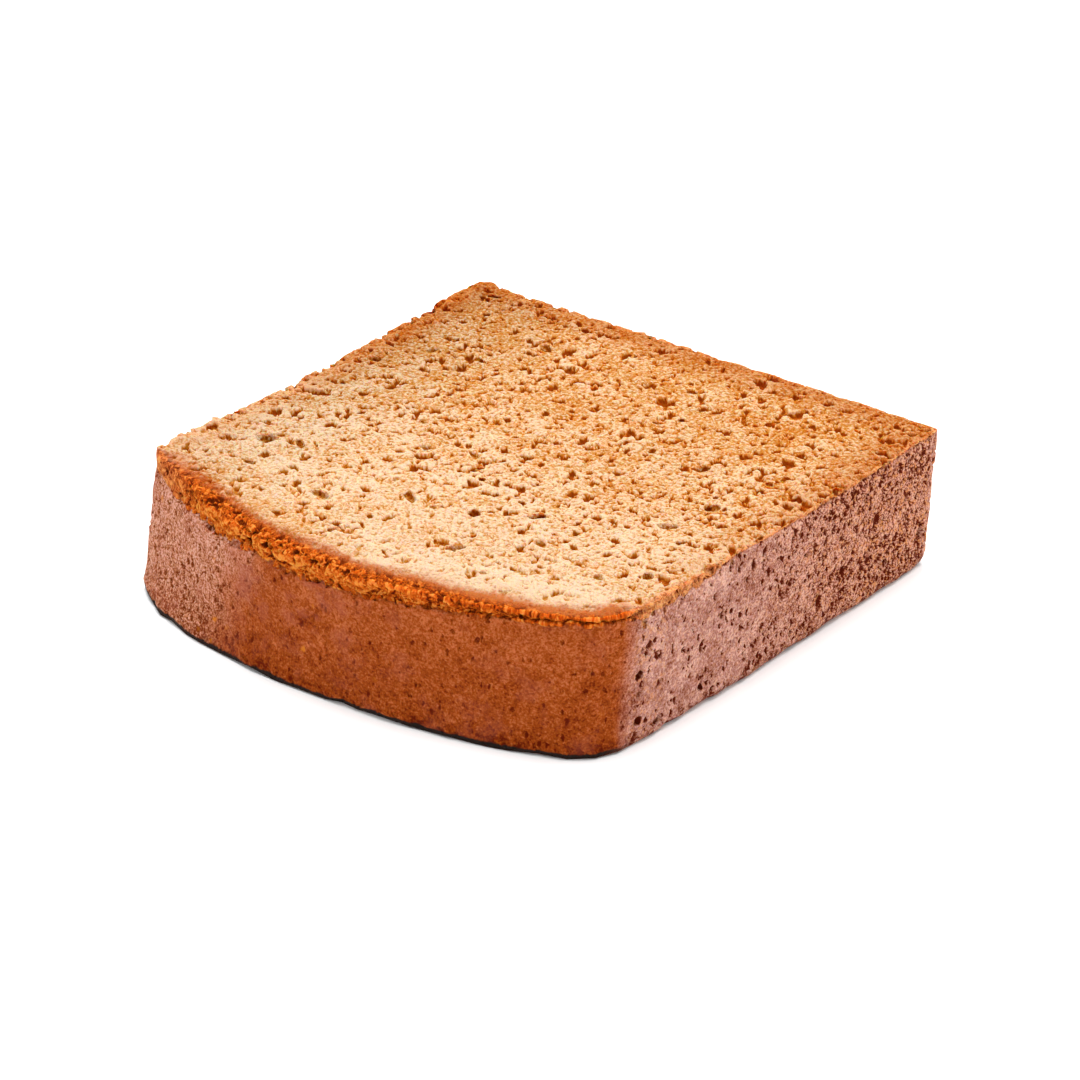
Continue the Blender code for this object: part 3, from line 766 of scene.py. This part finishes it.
def tin_colour(graph, at, crust, colours):
    """The other sides: mauve-brown, partly their own crust and partly painted sheen, rust round the
    pits, gold flecks by the shoulder and towards the base.
    """
    crowding = graph.product(graph.ramp(at.depth, -15.0, 35.0),
                             graph.ramp(at.depth, *BASE_STRIP, 1.0, 0.5))
    tone = graph.total(
        0.47, (crust.texture, 0.85), (crust.cloudy, 0.4), (crust.coarse, -0.75), (crust.fine, -0.7),
        (graph.product(crust.gritty, graph.total(1.0, (crowding, 2.4))), 1.0))
    # Its mauve browns and lights are partly own crust and partly painted sheen.
    tin = graph.shades(tone, colours.tin_deep, colours.tin_rust, colours.tin_brown_and_sheen,
                       colours.tin_light_and_sheen)
    specks = graph.clouds(graph.shifted(at.place, "specks"), SPECKS, 2.0)
    gilded = graph.most(graph.product(graph.ramp(off_shoulder(graph, at), 6.0, 3.0), 0.5),
                        graph.ramp(at.depth, -10.0, 40.0, 0.25, 0.9))
    gilt = graph.product(graph.ramp(specks, 0.53, 0.61), gilded, graph.ramp(tone, 0.3, 0.6))
    tin = graph.blend(gilt, tin, colours.tin_gold)
    return graph.tinted(tin, colours.tin_rear, crowding)


class Crust:
    """What the colours of the crown and of the other sides share."""

    def __init__(self, graph, at, texture):
        self.coarse, self.fine = crust_layers(graph, at)
        self.cloudy = graph.clouds(at.place, 5.0, 3.0)
        self.gritty = graph.math("SUBTRACT", texture.grit, NOISE_MIDDLE)
        # The texture paints shade into the crust's hollows.
        self.texture = graph.total(
            -1.25, (texture.grain, 1.25), (graph.clouds(at.place, 1.4, 2.0), 0.7),
            (self.cloudy, 0.55), (texture.hollow_shade, -0.3))


def crust_colour(graph, at, texture, colours):
    """The crust of all the walls, with a painted contact shadow along the crown's lower rim."""
    crust = Crust(graph, at, texture)
    baked = graph.blend(at.tin, crown_colour(graph, at, crust, colours),
                        tin_colour(graph, at, crust, colours))
    # Painted contact shadow: the crown's lowest millimetre turns near black, as if in the shade
    # under its edge.
    painted_foot_shadow = graph.total(at.height, (graph.clouds(at.place, 2.2, 2.0), -0.8))
    painted_foot_shadow = graph.product(graph.ramp(painted_foot_shadow, 0.95, 0.65), at.crown)
    return graph.blend(painted_foot_shadow, baked, colours.foot)


def rim_bites(graph, at, hollow):
    """1 in the hollows of the tin side's upper rim towards the crown, which show torn crust."""
    return graph.product(graph.ramp(hollow, 0.15, 0.5), graph.ramp(at.depth, -6.0, -12.0),
                         graph.ramp(at.height, 18.5, 21.0), at.tin)


def bread_material(colours):
    """Crumb, torn band and crust in one material."""
    material = bpy.data.materials.new("banana_bread")
    material.use_nodes = True
    graph = Graph(material.node_tree)
    shader = material.node_tree.nodes["Principled BSDF"]

    def attribute(name, output="Vector"):
        return graph.add("ShaderNodeAttribute", attribute_name=name).outputs[output]

    at = Surface(graph, attribute)
    hollow = attribute("hollow", "Fac")
    texture = Texture(graph, at, hollow)
    crust = graph.product(at.crust, graph.rest(rim_bites(graph, at, hollow)))
    crumb = crumb_colour(graph, at, texture, colours)
    wall = graph.blend(crust, band_colour(graph, at, texture, colours),
                       crust_colour(graph, at, texture, colours))
    colour = graph.blend(at.lower, crumb, graph.blend(at.band, crumb, wall))
    graph.feed(shader.inputs["Base Color"], colour)
    shader.inputs["Specular IOR Level"].default_value = GLOSS
    graph.feed(shader.inputs["Roughness"], graph.between(crust, CRUMB_ROUGHNESS, CRUST_ROUGHNESS))
    graph.feed(shader.inputs["Subsurface Weight"], graph.between(crust, CRUMB_GLOW, CRUST_GLOW))
    shader.inputs["Subsurface Radius"].default_value = GLOW_REACH
    shader.inputs["Subsurface Scale"].default_value = GLOW_SCALE
    relief = graph.total(0.0, (texture.fine, 0.5), (texture.curds, 0.12), (texture.grain, 0.2),
                         (texture.grit, 0.35))
    relief = graph.product(relief, graph.total(1.0, (crust, -0.6)))
    bump = graph.add("ShaderNodeBump", {"Height": relief, "Strength": 1.0, "Distance": MM})
    graph.feed(shader.inputs["Normal"], bump.outputs[0])
    return material


SOFTENING, SOFTENING_ROUNDS = 0.5, 4  # of the solid's facets
UNSEEN = 1.5 * MM  # the height under which the lower face is thinned first
UNSEEN_WEIGHT, SEEN_WEIGHT = 1.0, 0.3


def make_slice(shape, colours):
    """The visible slice: voxels, relief, and thinning to a fair number of triangles."""
    piece = duplicate_solid()
    piece.data.remesh_voxel_size = shape.voxel
    bpy.ops.object.voxel_remesh()
    apply_modifier(piece, "SMOOTH", "Soften facets", factor=SOFTENING,
                   iterations=SOFTENING_ROUNDS)
    mark_edges(piece.data, shape)
    apply_modifier(piece, "NODES", "Relief", node_group=relief_tree(shape))
    triangles = sum(len(face.vertices) - 2 for face in piece.data.polygons)
    hidden = coordinates(piece.data)[:, 2] < UNSEEN
    for weight, chosen in ((UNSEEN_WEIGHT, hidden), (SEEN_WEIGHT, ~hidden)):
        group = piece.vertex_groups.get("thinning") or piece.vertex_groups.new(name="thinning")
        group.add(np.flatnonzero(chosen).tolist(), weight, "REPLACE")
    apply_modifier(piece, "DECIMATE", "Thin", ratio=min(1.0, shape.most_triangles / triangles),
                   vertex_group="thinning")
    piece.vertex_groups.clear()
    points = coordinates(piece.data)
    points[:, 2] = np.maximum(points[:, 2], 0)
    piece.data.vertices.foreach_set("co", points.ravel())
    bpy.ops.object.shade_smooth()
    piece.data.materials.append(bread_material(colours))
    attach(piece, "root")
    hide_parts(SOLID)
    return piece


FLOOR_SIZE = 6  # metres
FLOOR_ROUGHNESS = 0.9
SENSOR_WIDTH = 36  # mm
NEAREST_SEEN = 0.01  # metres
KEY_AZIMUTH, KEY_ELEVATION = math.radians(165), math.radians(86)
KEY_DISTANCE, KEY_SIZE = 1.0, 0.7  # metres


def plain_material(name, colour, roughness):
    """A plain matt material for the stage."""
    material = bpy.data.materials.new(name)
    material.use_nodes = True
    shader = material.node_tree.nodes["Principled BSDF"]
    shader.inputs["Base Color"].default_value = (*colour, 1.0)
    shader.inputs["Roughness"].default_value = roughness
    return material


def add_floor(stage):
    """The pale floor."""
    bpy.ops.object.select_all(action="DESELECT")
    bpy.ops.mesh.primitive_plane_add(size=FLOOR_SIZE, location=(0, 0, 0))
    floor = bpy.context.object
    floor.name = "floor"
    floor.data.materials.append(plain_material("floor", stage.floor, FLOOR_ROUGHNESS))


def add_softbox(name, azimuth, elevation, distance, size, power):
    """A square light that looks at the slice."""
    bpy.ops.object.light_add(type="AREA")
    light = bpy.context.object
    light.name = name
    light.data.energy = power
    light.data.size = size
    towards = direction(azimuth, elevation)
    light.location = towards * distance
    light.rotation_euler = towards.to_track_quat("Z", "Y").to_euler()


def direction(azimuth, elevation):
    """The way from the slice to a place seen at an azimuth and an elevation."""
    flat = math.cos(elevation)
    return Vector((math.sin(azimuth) * flat, -math.cos(azimuth) * flat, math.sin(elevation)))


def add_camera(stage):
    """The camera, where the photograph was taken from."""
    towards = direction(stage.azimuth, stage.elevation)
    bpy.ops.object.camera_add()
    camera = bpy.context.object
    camera.location = Vector(stage.aim) + towards * stage.distance
    camera.rotation_euler = towards.to_track_quat("Z", "Y").to_euler()
    camera.data.lens = stage.lens
    camera.data.sensor_width = SENSOR_WIDTH
    camera.data.clip_start = NEAREST_SEEN
    bpy.context.scene.camera = camera


def light_world(stage):
    """White surroundings all round."""
    world = bpy.data.worlds.new("daylight")
    world.use_nodes = True
    background = world.node_tree.nodes["Background"]
    background.inputs["Color"].default_value = (1, 1, 1, 1)
    background.inputs["Strength"].default_value = stage.daylight
    bpy.context.scene.world = world
    bpy.context.scene.view_settings.view_transform = "Standard"


class BREAD_OT_slice(bpy.types.Operator):
    """Make the visible slice with its crumb and crust"""

    bl_idname = "bread.slice"
    bl_label = "Slice"

    def execute(self, context):
        make_slice(context.scene.bread_shape, context.scene.bread_colours)
        return {"FINISHED"}


class BREAD_OT_stage(bpy.types.Operator):
    """Set up the floor, the light and the camera"""

    bl_idname = "bread.stage"
    bl_label = "Stage"

    def execute(self, context):
        stage = context.scene.bread_stage
        add_camera(stage)
        add_floor(stage)
        light_world(stage)
        add_softbox("key", KEY_AZIMUTH, KEY_ELEVATION, KEY_DISTANCE, KEY_SIZE, stage.key)
        return {"FINISHED"}


class BREAD_PT_panel(bpy.types.Panel):
    """Lists the steps that make the slice"""

    bl_label = "Banana bread"
    bl_space_type = "VIEW_3D"
    bl_region_type = "UI"
    bl_category = "Bread"

    def draw(self, context):
        for step in (BREAD_OT_slice, BREAD_OT_stage):
            self.layout.operator(step.bl_idname)


CLASSES = (BreadShape, BreadColours, BreadStage, BREAD_OT_slice, BREAD_OT_stage, BREAD_PT_panel)
SETTINGS = {"bread_shape": BreadShape, "bread_colours": BreadColours, "bread_stage": BreadStage}


def register():
    for kind in CLASSES:
        bpy.utils.register_class(kind)
    for name, kind in SETTINGS.items():
        setattr(bpy.types.Scene, name, PointerProperty(type=kind))


def unregister():
    for name in SETTINGS:
        delattr(bpy.types.Scene, name)
    for kind in reversed(CLASSES):
        bpy.utils.unregister_class(kind)


def main():
    register()
    bpy.ops.bread.slice()
    bpy.ops.bread.stage()


if __name__ == "__main__":
    main()
